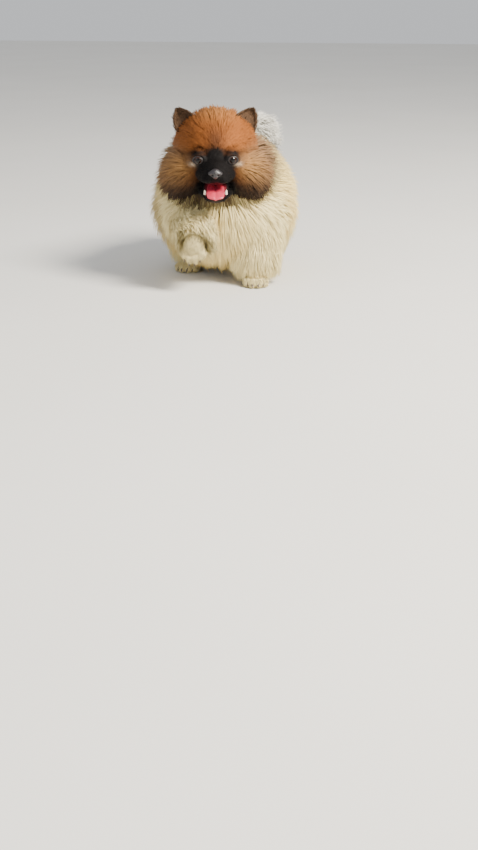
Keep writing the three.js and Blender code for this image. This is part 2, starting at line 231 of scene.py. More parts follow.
# %% Meshes from arrays
def joined(surfaces):
    """Several surfaces as one, with each one's faces counted on from the last one's points"""
    starts = np.cumsum([0] + [len(points) for points, _ in surfaces[:-1]])
    return (
        np.concatenate([points for points, _ in surfaces]),
        np.concatenate([faces + start for (_, faces), start in zip(surfaces, starts)]),
    )


def colour_points(mesh, colours):
    """Stores a linear colour for each point, under the name that the materials read"""
    layer = mesh.color_attributes.new("Coat", "FLOAT_COLOR", "POINT")
    with_alpha = np.concatenate([colours, np.ones((len(colours), 1))], 1)
    layer.data.foreach_set("color", with_alpha.astype(np.float32).ravel())


def mesh_object(name, points, faces, colours=None, uvs=None, normals=None):
    """An object at the origin whose mesh has these faces and the points * MM + SHIFT. colours, uvs and
    normals have one row for each point."""
    mesh = bpy.data.meshes.new(name)
    mesh.vertices.add(len(points))
    mesh.vertices.foreach_set("co", (np.asarray(points) * MM + SHIFT).astype(np.float32).ravel())
    mesh.loops.add(faces.size)
    mesh.loops.foreach_set("vertex_index", faces.astype(np.int32).ravel())
    mesh.polygons.add(len(faces))
    mesh.polygons.foreach_set("loop_start", (np.arange(len(faces)) * faces.shape[1]).astype(np.int32))
    mesh.polygons.foreach_set("use_smooth", np.ones(len(faces), bool))
    if uvs is not None:
        layer = mesh.uv_layers.new(name="OFBake")
        layer.data.foreach_set("uv", uvs[faces.ravel()].astype(np.float32).ravel())
    if colours is not None:
        colour_points(mesh, colours)
    mesh.update(calc_edges=True)
    mesh.validate()
    if normals is not None:
        mesh.normals_split_custom_set_from_vertices(normals.tolist())
    made = bpy.data.objects.new(name, mesh)
    bpy.context.scene.collection.objects.link(made)
    return made


def rows_of(items, name, width, kind=np.float32):
    """One row of width numbers for each item, from Blender's own flat array"""
    flat = np.empty(len(items) * width, kind)
    items.foreach_get(name, flat)
    return flat.reshape(-1, width)


print("two joined eggs have", len(joined([egg_surface(((0, 0, 0), (1, 1, 1), 0))] * 2)[0]), "points")

# %% [markdown]
# ## The head under its coat
#
# A pomeranian's skull is round, with a short muzzle, full lips and cheeks padded by fur. It could be
# sculpted, but a few eggs laid into one another are easier to place by measure: the cranium, the face, two
# cheeks, three eggs that narrow to the nose, the lips and the brows. The jaw is a flat tube that hangs open.
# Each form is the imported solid's, drawn in by the depth of the hair that grows on it.

# %% Forms of the head
DEPTH = {
    "trunk": 9,
    "neck": 7,
    "cranium": 6,
    "cheek": 5,
    "face": 1,
    "muzzle": 1.2,
    "jaw": 1.2,
    "brow": 3.5,
    "leg": 8,
    "paw": 1.5,
    "tail": 9,
}
CRANIUM = ((0, 5, 3), (41, 40, 38), 0.1)
FACE = ((0, -7, -9), (36, 28, 25), 0.1)
CHEEK = ((24, -4, -20), (24, 24, 25), 0.0)
MUZZLE = (
    ((0, -28, -17), (23, 22, 15), 0.25),
    ((0, -43, -18), (16.5, 16.5, 11), 0.2),
    ((0, -52, -16.5), (9, 8, 8), 0.1),
)
FLEW = ((8.5, -47.5, -23), (9, 11, 6.5), 0.0)
BROW = ((16.5, -25.5, 6), (10, 7.5, 5), 0.0)
JAW = (((0, -6, -34), (0, -30, -39.5), (0, -51, -45.5)), (17.5, 16.5, 12.5))
JAW_FLATNESS = 0.42
head_forms = [
    egg_surface(CRANIUM, DEPTH["cranium"]),
    egg_surface(FACE, DEPTH["face"]),
    egg_surface(CHEEK, DEPTH["cheek"]),
    egg_surface(mirrored(CHEEK), DEPTH["cheek"]),
    *[egg_surface(egg, DEPTH["muzzle"]) for egg in MUZZLE],
    egg_surface(FLEW, DEPTH["muzzle"]),
    egg_surface(mirrored(FLEW), DEPTH["muzzle"]),
    egg_surface(BROW, DEPTH["brow"]),
    egg_surface(mirrored(BROW), DEPTH["brow"]),
    tube_surface(*JAW, less=DEPTH["jaw"], flat=JAW_FLATNESS),
]
print("forms of the head:", len(head_forms))

# %% [markdown]
# Each eye sits in a shallow rim of skin, the lids' fleshy edge. It could be cut into the face, but a cut
# leaves a hard rim. A torus laid round the line of sight melts into the face when all forms become one skin.

# %% Rims of the eye sockets
GAZE = 16
SOCKET = {"radius": 7.3, "thickness": 2.4, "height": 0.84, "ahead": 3.0}


def ring_surface(radius, thickness, height, ahead, side, rows=36, columns=14):
    """A torus round an eye's line of sight: with R the radius, r the thickness and h the height share,
    ((R + r cos v) cos u, -ahead - r sin v, h (R + r cos v) sin u), turned out by the gaze"""
    u, v = np.meshgrid(
        np.arange(rows + 1) * 2 * np.pi / rows, np.arange(columns) * 2 * np.pi / columns, indexing="ij"
    )
    far = radius + thickness * np.cos(v)
    points = np.stack([far * np.cos(u), -ahead - thickness * np.sin(v), height * far * np.sin(u)], -1)
    points = turned(points.reshape(-1, 3), side * GAZE)
    return points + EYE_AT * (side, 1, 1), grid_faces(rows + 1, columns)


head_forms += [ring_surface(**SOCKET, side=side) for side, _ in BOTH_SIDES]
print("forms of the head with its rims:", len(head_forms))

# %% [markdown]
# ## The body under its coat
#
# The trunk is a barrel, wider below than above, the neck a short egg, and each leg and the tail are tubes
# through their joints. The legs keep a trot's pose: the right foreleg is lifted, and the hind legs are
# apart. A rigged body could be posed, but this puppy stands still, so its joints are placed once.

# %% Forms of the body
TRUNK = ((-5, 17, 95), (65, 78, 61), 0.2)
NECK = ((-5, -31, 134), (49, 34, 43), 0.0)
LEGS = {
    "left_fore": (((32, -20, 88), (38, -22, 66), (41, -31, 41), (43, -39, 20)), (26, 26, 24, 18)),
    "right_fore": (((-36, -26, 92), (-38, -43, 82), (-33, -61, 76), (-27, -78, 73)), (24, 22, 19, 16)),
    "left_hind": (((30, 54, 84), (36, 58, 64), (37, 69, 43), (35, 79, 24)), (28, 29, 25, 17)),
    "right_hind": (((-40, 44, 86), (-48, 42, 65), (-52, 38, 43), (-53, 31, 24)), (28, 29, 25, 17)),
}
TAIL = (
    ((-2, 80, 122), (2, 101, 140), (11, 99, 158), (25, 83, 166), (36, 63, 162)),
    (19, 17, 15, 13, 9),
)
HEEL = (0, 2, 11)
PASTERN_RADII = (10, 9.5)
body_forms = [egg_surface(TRUNK, DEPTH["trunk"], 40, 60), egg_surface(NECK, DEPTH["neck"])]
body_forms += [tube_surface(*leg, less=DEPTH["leg"]) for leg in LEGS.values()]
body_forms.append(tube_surface(*TAIL, less=DEPTH["tail"], steps=40))
for name, (joints, radii) in LEGS.items():
    pastern = (joints[-2], joints[-1], from_paw([HEEL], name)[0])
    body_forms.append(tube_surface(pastern, (radii[-2] - DEPTH["leg"], *PASTERN_RADII)))
print("forms of the body:", len(body_forms))

# %% [markdown]
# A puppy's paw is a round pad with four toes in front. Eggs serve again, and what would lie below the
# ground is pressed flat, so that the paw stands on it.

# %% Paws
PAW = ((0, 0, 9.5), (12.5, 14, 12), 0)
TOES = ((-9.5, -9), (-3.6, -13.5), (3.6, -13.5), (9.5, -9))
TOE_HEIGHT = 5.4
TOE_RADII = (5.4, 8, 5.8)
TOE_DEPTH = 0.4
SOLE = 0.3
paw_forms = []
for name in PAWS:
    pads = [egg_surface(PAW, DEPTH["paw"])]
    pads += [egg_surface(((x, y, TOE_HEIGHT), TOE_RADII, 0), TOE_DEPTH) for x, y in TOES]
    for points, faces in pads:
        points[:, 2] = np.maximum(points[:, 2], SOLE)
        paw_forms.append((from_paw(points, name), faces))
print("forms of the paws:", len(paw_forms))

# %% [markdown]
# ## One skin
#
# On the animal a single skin runs over all of this. The forms could be united with a Boolean, which leaves a
# crease at every joint and often fails on touching surfaces. A voxel Remesh instead wraps one even mesh
# round them all, and a little smoothing melts the creases. The modifiers are applied here, because roots of
# hair have to be found on the finished mesh.

# %% Join, remesh and smooth
SKIN_VOXEL = 1.5
rough_parts = [(from_head(points), faces) for points, faces in head_forms] + body_forms + paw_forms
rough = mesh_object("rough", *joined(rough_parts))
remesh = rough.modifiers.new("remesh", "REMESH")
remesh.mode = "VOXEL"
remesh.voxel_size = SKIN_VOXEL * MM
smooth = rough.modifiers.new("smooth", "SMOOTH")
smooth.factor = 0.5
smooth.iterations = 5
evaluated = rough.evaluated_get(bpy.context.evaluated_depsgraph_get())
skin_mesh = bpy.data.meshes.new_from_object(evaluated)
skin_mesh.name = "skin"
skin = bpy.data.objects.new("skin", skin_mesh)
bpy.context.scene.collection.objects.link(skin)
bpy.data.objects.remove(rough)
skin_mesh.polygons.foreach_set("use_smooth", np.ones(len(skin_mesh.polygons), bool))
print("skin faces:", len(skin_mesh.polygons))

# %% [markdown]
# The skin is unwrapped into flat islands, which a bake needs. It could be cut along seams by hand. Smart
# Project needs none: it cuts wherever the surface turns by more than a given angle. Each tuft of the coat
# later takes the place of its root on this map, so that skin and coat share one layout.

# %% Unwrap the skin
ISLAND_ANGLE = 1.15
ISLAND_GAP = 0.004
bpy.context.view_layer.objects.active = skin
skin.select_set(True)
bpy.ops.object.mode_set(mode="EDIT")
bpy.ops.mesh.select_all(action="SELECT")
bpy.ops.uv.smart_project(angle_limit=ISLAND_ANGLE, island_margin=ISLAND_GAP)
bpy.ops.object.mode_set(mode="OBJECT")
skin_mesh = skin.data
skin_mesh.uv_layers[0].name = "OFBake"
skin_points = (rows_of(skin_mesh.vertices, "co", 3) - SHIFT) / MM
print("uv layers:", [layer.name for layer in skin_mesh.uv_layers])

# %% [markdown]
# ## Where each region is
#
# Hair length, its lie and its colour change from region to region, and never in a step. Regions could be
# painted as vertex groups. Here they are worked out: a point belongs most to the form whose surface is
# nearest, and the shares of all regions fall off smoothly with distance and add up to 1.


# %% Distances to the forms
def egg_distance(p, egg, less):
    """About how far p is from an egg's surface: (|(p - centre) / r| - 1) * (rx ry rz)^(1/3), with r the
    radii less the depth"""
    centre, radii, _ = egg
    r = np.array(radii, float) - less
    return (np.linalg.norm((p - centre) / r, axis=1) - 1) * r.prod() ** (1 / 3)


def tube_distance(p, joints, radii, less):
    """(distance to the nearest straight run between joints less its radius, the run's direction, how far
    along the tube from 0 to 1)"""
    joints, radii = np.array(joints, float), np.array(radii, float) - less
    a, b = joints[:-1], joints[1:]
    along = np.einsum("nsk,sk->ns", p[:, None] - a, b - a) / ((b - a) ** 2).sum(1)
    along = np.clip(along, 0, 1)
    near = a + along[..., None] * (b - a)
    distance = np.linalg.norm(p[:, None] - near, axis=2) - (radii[:-1] + along * (radii[1:] - radii[:-1]))
    best = distance.argmin(1)
    rows = np.arange(len(p))
    tangent = (b - a)[best] / np.linalg.norm((b - a)[best], axis=1, keepdims=True)
    return distance[rows, best], tangent, (best + along[rows, best]) / len(a)


from_trunk = egg_distance(skin_points, TRUNK, DEPTH["trunk"])
print("the skin is up to", from_trunk.max().round(), "mm from the trunk")

# %% Region shares
REGIONS = ("trunk", "neck", "cranium", "face", "cheek", "muzzle", "jaw", "leg", "paw", "tail")
BLEND = 2.2
INSIDE, OUTSIDE = -4, 60
JAW_THINNER = 3.0
PAW_MIDDLE = (0, -4, 6)
PAW_REACH = 17


def nearer_egg(q, egg, less):
    """The smaller of the distances to an egg and to its mirror image"""
    return np.minimum(egg_distance(q, egg, less), egg_distance(q, mirrored(egg), less))


def shares_of(p):
    """({region: share}, leg directions, tail directions, how far along the tail) at the points p. A share
    is exp(-distance / BLEND) over the sum of all of them."""
    q = to_head(p)
    legs = [tube_distance(p, *leg, DEPTH["leg"]) for leg in LEGS.values()]
    leg_distance = np.array([leg[0] for leg in legs])
    leg_tangent = np.array([leg[1] for leg in legs])[leg_distance.argmin(0), np.arange(len(p))]
    tail_distance, tail_tangent, tail_along = tube_distance(p, *TAIL, DEPTH["tail"])
    paws = [np.linalg.norm(to_paw(p, name) - PAW_MIDDLE, axis=1) - PAW_REACH for name in PAWS]
    distance = {
        "trunk": egg_distance(p, TRUNK, DEPTH["trunk"]),
        "neck": egg_distance(p, NECK, DEPTH["neck"]),
        "cranium": egg_distance(q, CRANIUM, DEPTH["cranium"]),
        "face": egg_distance(q, FACE, DEPTH["face"]),
        "cheek": nearer_egg(q, CHEEK, DEPTH["cheek"]),
        "muzzle": np.minimum.reduce([egg_distance(q, egg, DEPTH["muzzle"]) for egg in MUZZLE]),
        "jaw": tube_distance(q, *JAW, DEPTH["jaw"])[0] + JAW_THINNER,
        "leg": leg_distance.min(0),
        "paw": np.minimum.reduce(paws),
        "tail": tail_distance,
    }
    closeness = np.stack([np.exp(-np.clip(distance[name], INSIDE, OUTSIDE) / BLEND) for name in REGIONS])
    closeness /= closeness.sum(0)
    return dict(zip(REGIONS, closeness)), leg_tangent, tail_tangent, tail_along


skin_shares = shares_of(skin_points)[0]
print("share of the skin:", {name: round(float(share.mean()), 2) for name, share in skin_shares.items()})

# %% [markdown]
# ## Markings
#
# The puppy is cream, paler in front, with a grey-brown saddle, a white tail, and an orange-tan head with a
# black mask, dark ears and a dark ruff under the cheeks. Such markings could be painted on a texture. Here
# each one is a soft blob or a soft step in space, laid over what is below it, so it needs no picture, and
# the skin and every tuft can read the same formula.


# %% Soft edges and colours
def srgb(red, green, blue):
    """A screen colour, 0 to 255, as linear light: with c its share of 255, c / 12.92 for the darkest, else
    ((c + 0.055) / 1.055)^2.4"""
    c = np.array((red, green, blue)) / 255
    return np.where(c <= 0.04045, c / 12.92, ((c + 0.055) / 1.055) ** 2.4)


def ramp(x, low, high):
    """Smoothly 0 at low and 1 at high: t^2 (3 - 2t)"""
    t = np.clip((x - low) / (high - low), 0, 1)
    return t * t * (3 - 2 * t)


def blob(p, centre, radii):
    """1 at the centre, fading as exp(-|(p - centre) / radii|^2)"""
    return np.exp(-((((p - np.array(centre, float)) / np.array(radii, float)) ** 2).sum(1)))


def sides(p):
    """The points with x made positive, so that one blob marks both sides"""
    return np.concatenate([np.abs(p[:, :1]), p[:, 1:]], 1)


CREAM, PALE, WHITE = srgb(250, 222, 148), srgb(255, 236, 176), srgb(255, 252, 240)
# FLANK_SHADE is painted shade for the puppy's right side, which faces away from the light.
SADDLE, FLANK_SHADE = srgb(128, 108, 88), srgb(120, 102, 82)
RUFF, RUFF_TOP = srgb(58, 40, 28), srgb(150, 116, 84)
TAN, CROWN_TAN = srgb(156, 92, 42), srgb(196, 138, 78)
TEMPLE, LIGHT_TAN = srgb(142, 108, 76), srgb(188, 138, 80)
FOREHEAD, EYE_RING = srgb(84, 52, 34), srgb(140, 112, 88)
UNDER_EYE, CHIN = srgb(214, 188, 160), srgb(170, 146, 128)
MASK, DARK_EAR = srgb(13, 9, 9), srgb(80, 58, 40)
print("cream in linear light:", CREAM.round(2))

# %% Markings of the coat
FACE_MARKS = (
    (FOREHEAD, 0.8, (0, -30, 20), (9, 14, 12)),
    (EYE_RING, 0.8, (31, -25, -3), (7, 10, 4)),
)
MASK_MARKS = (
    (2.0, (0, -34, -1), (10, 15, 11)),
    (1.7, (16, -31, -6), (13, 12, 9)),
    (2.4, (0, -46, -19), (26, 27, 15)),
    (3.8, (0, -42, -42), (30, 34, 17)),
)
PALE_MARKS = (
    (UNDER_EYE, 0.9, (28, -27, -9.5), (4.5, 9, 2.6)),
    (CHIN, 0.7, (0, -56, -50), (9, 7, 3)),
)
BROW_LINE = ((22, -25, 3.5), (15, 15, 3.6))
BROW_LINE_MIDDLE = 20
RUFF_CENTRE = (0, 10, -6)


def lay(colour, new, weight):
    """colour (1 - w) + new w, with the weight w kept between 0 and 1"""
    w = np.clip(weight, 0, 1)[:, None]
    return colour * (1 - w) + new * w


def body_markings(p, shares):
    """Cream, paler in front (-y), with the saddle over the back, painted shade on the right side, which faces
    away from the light, and the ruff's dark tone where the neck comes near the head"""
    colour = np.tile(CREAM, (len(p), 1))
    colour = lay(colour, PALE, 0.7 * ramp(-p[:, 1], 10, 60))
    back = ramp(p[:, 2], 106, 140) * ramp(p[:, 1], -45, -5) * (1 - ramp(p[:, 1], 55, 95))
    colour = lay(colour, SADDLE, 0.75 * back)
    # Painted shade: the right flank is darkened as the side away from the light.
    colour = lay(colour, FLANK_SHADE, 0.8 * ramp(-p[:, 0], 40, 78) * ramp(p[:, 2], 16, 60))
    far = np.linalg.norm(p - HEAD_AT - RUFF_CENTRE, axis=1)
    neck_tone = RUFF + (RUFF_TOP - RUFF) * ramp(p[:, 2], 128, 160)[:, None]
    return lay(colour, neck_tone, shares["neck"] * (1 - ramp(far, 50, 62)))


def head_markings(colour, p, head):
    """The head's tans from the crown down to the ruff, then the dark brow, the mask's four blobs and the
    pale marks, each times the head's share"""
    q = to_head(p)
    s = sides(q)
    colour = lay(colour, TAN, head)
    colour = lay(colour, CROWN_TAN, head * 0.8 * ramp(q[:, 2], 26, 44))
    colour = lay(colour, TEMPLE, head * ramp(s[:, 0], 22, 44) * (1 - ramp(q[:, 2], -2, 18)))
    colour = lay(colour, LIGHT_TAN, head * 0.8 * blob(s, (38, -20, -14), (14, 18, 14)))
    colour = lay(colour, RUFF, head * ramp(-q[:, 2] + 0.16 * s[:, 0], 30, 44))
    for tone, strength, centre, radii in FACE_MARKS:
        colour = lay(colour, tone, head * strength * blob(s, centre, radii))
    sloped = s + 0.2 * (s[:, :1] - BROW_LINE_MIDDLE) * (0, 0, 1)
    colour = lay(colour, MASK, head * 1.1 * blob(sloped, *BROW_LINE))
    for strength, centre, radii in MASK_MARKS:
        colour = lay(colour, MASK, head * strength * blob(s, centre, radii))
    for tone, strength, centre, radii in PALE_MARKS:
        colour = lay(colour, tone, head * strength * blob(s, centre, radii))
    return colour


def markings(p, shares):
    """The coat's linear colour at the points p: the body's, then the head's, then a white tail and pale
    legs over them"""
    head = shares["cranium"] + shares["face"] + shares["cheek"] + shares["muzzle"] + shares["jaw"]
    colour = head_markings(body_markings(p, shares), p, head)
    colour = lay(colour, WHITE, shares["tail"])
    return lay(colour, PALE, shares["leg"] + shares["paw"])


skin_colours = markings(skin_points, skin_shares)
print("mean colour of the markings:", skin_colours.mean(0).round(2))

# %% [markdown]
# The skin shows only where the hair is short or parts. It has the coat's markings, darkened by a painted
# shade under the coat, with red flesh inside the mouth and dark pads under the paws.

# %% Colours of the skin
# ROOT_SHADE darkens the skin's colour: painted shade under the coat.
ROOT_SHADE = 0.8
FLESH, PAD = srgb(120, 34, 44), srgb(62, 50, 52)
PAD_HEIGHT = 1.6


def mouth_weight(p):
    """1 inside the mouth: steps in y, |x| and z multiplied, between the muzzle's underside and the jaw"""
    q = to_head(p)
    inside = ramp(q[:, 1], -57, -52) * (1 - ramp(q[:, 1], -24, -14)) * (1 - ramp(np.abs(q[:, 0]), 10, 14))
    return inside * ramp(q[:, 2], -44, -40) * (1 - ramp(q[:, 2], -30, -27))


def under_paw(p, name, height):
    """True under a paw: |x| < 16 and |y + 6| < 22 in its frame, below this height"""
    local = to_paw(p, name)
    return (np.abs(local[:, 0]) < 16) & (local[:, 2] < height) & (np.abs(local[:, 1] + 6) < 22)


skin_colours = skin_colours * ROOT_SHADE
in_mouth = mouth_weight(skin_points)[:, None]
skin_colours = skin_colours * (1 - in_mouth) + FLESH * in_mouth
for name in PAWS:
    skin_colours = np.where(under_paw(skin_points, name, PAD_HEIGHT)[:, None], PAD, skin_colours)
colour_points(skin_mesh, skin_colours)
print("points inside the mouth:", int((in_mouth > 0.5).sum()))

# %% [markdown]
# ## Materials
#
# A material could be wired by hand in the shader editor. Written out, it reads better as arithmetic, so a
# small class wraps one socket of a shader tree: adding or multiplying two of them adds the Math node that
# does it. Numbers alone stay in Python. No finish is one flat colour: each varies by noise.


# %% A socket that works like a number
class Value:
    """One output of a shader tree; arithmetic on it adds the nodes that compute it"""

    def __init__(self, tree, socket=None):
        self.tree, self.socket = tree, socket

    def node(self, kind, inputs=(), output=0, **settings):
        """A new node of this kind: its settings first, then its inputs set or linked, as one output"""
        made = self.tree.nodes.new("ShaderNode" + kind)
        for name, setting in settings.items():
            setattr(made, name, setting)
        for key, given in dict(inputs).items():
            if isinstance(given, Value):
                self.tree.links.new(given.socket, made.inputs[key])
            else:
                made.inputs[key].default_value = given
        return Value(self.tree, made.outputs[output])

    def __add__(self, other):
        """this + other"""
        return self.node("Math", {0: self, 1: other}, operation="ADD")

    def __mul__(self, other):
        """this * other"""
        return self.node("Math", {0: self, 1: other}, operation="MULTIPLY")

    __radd__ = __add__
    __rmul__ = __mul__

    def noise(self, scale, detail=2.0):
        """Noise from 0 to 1 over the object's own coordinates, at this scale per metre"""
        where = self.node("TexCoord", output="Object")
        return self.node("TexNoise", {"Vector": where, "Scale": scale, "Detail": detail}, "Fac")

    def between(self, low, high):
        """The colour low where this is 0 and high where it is 1: low (1 - this) + high this"""
        return self.node("Mix", {0: self, 6: (*low, 1), 7: (*high, 1)}, 2, data_type="RGBA")

    def shade(self, colour):
        """colour times this"""
        return self.node("Mix", {0: 1.0, 6: colour, 7: self}, 2, data_type="RGBA", blend_type="MULTIPLY")

    def stored(self):
        """The colour that colour_points has stored"""
        return self.node("Attribute", output="Color", attribute_name="Coat")

    def bump(self, height, strength, distance=0.001):
        """The normal tipped by the slope of a height"""
        return self.node("Bump", {"Height": height, "Strength": strength, "Distance": distance})


def material(name, look, **constants):
    """A Principled material: constants are set on its sockets, and look(start) gives the linked ones"""
    made = bpy.data.materials.new(name)
    made.use_nodes = True
    shader = made.node_tree.nodes["Principled BSDF"]
    for socket, number in constants.items():
        shader.inputs[socket.replace("_", " ")].default_value = number
    for socket, given in look(Value(made.node_tree)).items():
        made.node_tree.links.new(given.socket, shader.inputs[socket])
    return made


def dress(made, look, slot, *nodes):
    """Gives a piece its material and prints its slot. The piece rides on the body and stands for these nodes.
    """
    made.data.materials.append(look)
    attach(made, "root")
    if nodes:
        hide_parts(*nodes)
    print(made.name, "has", len(made.data.polygons), "faces in the slot", slot)
    return made


# %% [markdown]
# The skin is dull and grained. A fine noise both shades its stored colour and feeds a Bump, so the pores
# need no geometry.


# %% Dress the skin
def skin_look(start):
    """Stored colour times (0.8 + 0.3 grain), with the grain as a bump"""
    grain = start.noise(900.0, 4.0)
    return {"Base Color": (0.8 + 0.3 * grain).shade(start.stored()), "Normal": start.bump(grain, 0.3)}


SKIN = material("skin", skin_look, Roughness=0.7, Specular_IOR_Level=0.2)
limbs = [name + "_" + part for name in LEGS for part in ("leg", "paw")]
dress(skin, SKIN, "cream_coat", "head", "jaw", "neck", "torso", "tail_root", "tail_plume", *limbs)

# %% [markdown]
# ## Eyes
#
# A puppy's eye is almost all dark iris, with a black pupil and a wet, bulging cornea. The iris could be a
# disc behind a clear dome, but a bake can't keep glass. One closed ball does it: its colour changes with
# the angle from the line of sight, a swelling makes the cornea, and a clear coat makes it look wet.

# %% Eyes
EYE_RADIUS = 7.2
EYE_ROWS, EYE_COLUMNS = 40, 48
GAZE_SHARE = 0.4
PUPIL_TO, IRIS_TO, RIM_TO = 22, 44, 58
PUPIL, IRIS, IRIS_RIM, EYE_WHITE = srgb(6, 4, 4), srgb(40, 22, 14), srgb(14, 9, 8), srgb(40, 30, 28)
CORNEA_HEIGHT, CORNEA_ANGLE = 0.7, 30


def eye_look(start):
    """Stored colour times (0.9 + 0.2 noise)"""
    return {"Base Color": (0.9 + 0.2 * start.noise(800.0)).shade(start.stored())}


EYE_SHINE = {"Roughness": 0.2, "Specular_IOR_Level": 0.2, "Coat_Weight": 0.2, "Coat_Roughness": 0.03}
EYE_WET = material("eye", eye_look, **EYE_SHINE)
for side, label in BOTH_SIDES:
    d = sphere_grid(EYE_ROWS, EYE_COLUMNS)
    gaze = turned(np.array([(0.0, -1.0, 0.0)]), side * GAZE * GAZE_SHARE)[0]
    angle = np.arccos(np.clip(d @ gaze, -1, 1)) / DEG
    colours = np.where((angle < PUPIL_TO)[:, None], PUPIL, IRIS)
    colours = np.where((angle > IRIS_TO)[:, None], IRIS_RIM, colours)
    colours = np.where((angle > RIM_TO)[:, None], EYE_WHITE, colours)
    cornea = CORNEA_HEIGHT * np.exp(-((angle / CORNEA_ANGLE) ** 2))[:, None] * gaze
    points = from_head(d * EYE_RADIUS + cornea + EYE_AT * (side, 1, 1))
    eye = mesh_object("eye_" + label, points, grid_faces(EYE_ROWS, EYE_COLUMNS), colours)
    dress(eye, EYE_WET, "eye", "eye_" + label)

# %% [markdown]
# The lids' dark, hairless edge frames each eye. It is a second, thinner ring in front of the rim of skin,
# made by the same formula.

# %% Lids
LID = {"radius": 5.5, "thickness": 1.1, "height": 0.74, "ahead": 5.0, "rows": 48, "columns": 12}


def lid_look(start):
    """Noise between two near-blacks"""
    return {"Base Color": start.noise(500.0).between(srgb(16, 12, 12), srgb(40, 32, 32))}


LID_DARK = material("lid", lid_look, Roughness=0.4)
for side, label in BOTH_SIDES:
    points, faces = ring_surface(**LID, side=side)
    dress(mesh_object("lid_" + label, from_head(points), faces), LID_DARK, "mask_coat")

# %% [markdown]
# ## Nose
#
# The nose leather is a damp, pebbled button with two nostrils that open sideways in a slit, and a groove
# down the middle. It could be sculpted. Here the front of an egg is dented by soft pits, whose depths add
# up, and a Voronoi bump makes the pebbles.

# %% Nose
NOSE = ((0, -58.5, -15.5), (7.4, 5.2, 5.4), -0.25)
NOSE_ROWS, NOSE_COLUMNS = 60, 80
NOSTRIL_DEPTH, SLIT_DEPTH, GROOVE_DEPTH = 2.3, 0.9, 0.7
NOSTRIL_X, NOSTRIL_Z, NOSTRIL_TILT = 0.45, 0.08, 0.25
SLIT_X, SLIT_Z = 0.72, 0.28


def nose_dent(x, z):
    """Depth in mm at the direction's x and z: the nostrils, exp(-((x - 0.45 s) / 0.17)^2 - ((z + 0.08 +
    0.25 s x) / 0.2)^2) for each side s, the slits beside them and the groove, exp(-(x / 0.07)^2)"""
    nostril = sum(
        np.exp(-(((x - s * NOSTRIL_X) / 0.17) ** 2 + ((z + NOSTRIL_Z + NOSTRIL_TILT * s * x) / 0.2) ** 2))
        for s in (1, -1)
    )
    slit = sum(np.exp(-(((x - s * SLIT_X) / 0.2) ** 2 + ((z + SLIT_Z) / 0.1) ** 2)) for s in (1, -1))
    groove = np.exp(-((x / 0.07) ** 2)) * ramp(-z, -0.2, 0.4)
    return NOSTRIL_DEPTH * nostril + SLIT_DEPTH * slit + GROOVE_DEPTH * groove


def nose_look(start):
    """Noise between two blacks, with Voronoi cells as a bump"""
    where = start.node("TexCoord", output="Object")
    pebbles = start.node("TexVoronoi", {"Vector": where, "Scale": 1300.0})
    tone = start.noise(300.0).between(srgb(14, 12, 14), srgb(44, 38, 42))
    return {"Base Color": tone, "Normal": start.bump(pebbles, 0.5, 0.0006)}


NOSE_DAMP = material("nose", nose_look, Roughness=0.34, Coat_Weight=0.3, Coat_Roughness=0.2)
centre, radii, pear = NOSE
d = sphere_grid(NOSE_ROWS, NOSE_COLUMNS)
x, y, z = d.T
square = 1 + 0.1 * np.cos(4 * np.arctan2(z, x))
widening = np.stack([(1 - pear * z) * square, np.ones_like(x), square], -1)
points = np.array(centre) + np.array(radii) * d * widening
points[:, 1] += np.where(y < 0, nose_dent(x, z), 0.0)
nose = mesh_object("nose", from_head(points), grid_faces(NOSE_ROWS, NOSE_COLUMNS))
dress(nose, NOSE_DAMP, "nose_leather", "nose")

# %% [markdown]
# ## Tongue and teeth
#
# The tongue lolls over the lower teeth and hangs at its tip. A flattened tube through four joints gives that
# fall, a shallow groove runs down it, and a thin clear coat over a rough base looks wet.

# %% Tongue
TONGUE = (((0, -14, -30.5), (0, -34, -34.8), (0, -50, -39), (0, -60.5, -44)), (8, 10, 11, 9.5))
TONGUE_FLATNESS = 0.2
GROOVE_DEEP, GROOVE_WIDE, GROOVE_ABOVE = 1.3, 1.6, -50


def tongue_look(start):
    """Noise between two pinks, with a finer noise as a bump"""
    tone = start.noise(120.0).between(srgb(168, 26, 50), srgb(222, 76, 98))
    return {"Base Color": tone, "Normal": start.bump(start.noise(700.0, 3.0), 0.35)}


TONGUE_WET = material("tongue", tongue_look, Roughness=0.32, Coat_Weight=0.4, Coat_Roughness=0.15)
points, faces = tube_surface(*TONGUE, less=0.3, flat=TONGUE_FLATNESS, steps=60, sides=40)
groove = np.exp(-((points[:, 0] / GROOVE_WIDE) ** 2)) * (points[:, 2] > GROOVE_ABOVE)
points[:, 2] -= GROOVE_DEEP * groove
dress(mesh_object("tongue", from_head(points), faces), TONGUE_WET, "tongue", "tongue")

# %% [markdown]
# Two lower milk canines show beside the tongue. Each is a short tube that narrows to a point and leans out.

# %% Teeth
TOOTH_AT = (12.4, -45, -38.6)
TOOTH_RADII = (1.6, 1.4, 0.4)


def tooth_look(start):
    """Noise between two ivories"""
    return {"Base Color": start.noise(400.0).between(srgb(226, 214, 184), srgb(248, 244, 232))}


TOOTH_ENAMEL = material("tooth", tooth_look, Roughness=0.25)
for side, label in BOTH_SIDES:
    base = np.array(TOOTH_AT) * (side, 1, 1)
    joints = (base + (0, 0, -3), base, base + (side * 0.4, -0.2, 2.9))
    points, faces = tube_surface(joints, TOOTH_RADII, steps=20, sides=16)
    tooth = mesh_object("tooth_" + label, from_head(points), faces)
    dress(tooth, TOOTH_ENAMEL, "tooth", "tooth_" + label)

# %% [markdown]
# ## Claws
#
# Sixteen small, dark claws curve down from the toes. They are the same tapering tube, laid at every toe by a
# loop and joined into one piece.

# %% Claws
CLAW_RADII = (1.6, 1.4, 0.35)


def claw_look(start):
    """Noise between two horn browns"""
    return {"Base Color": start.noise(400.0).between(srgb(50, 40, 36), srgb(120, 102, 90))}


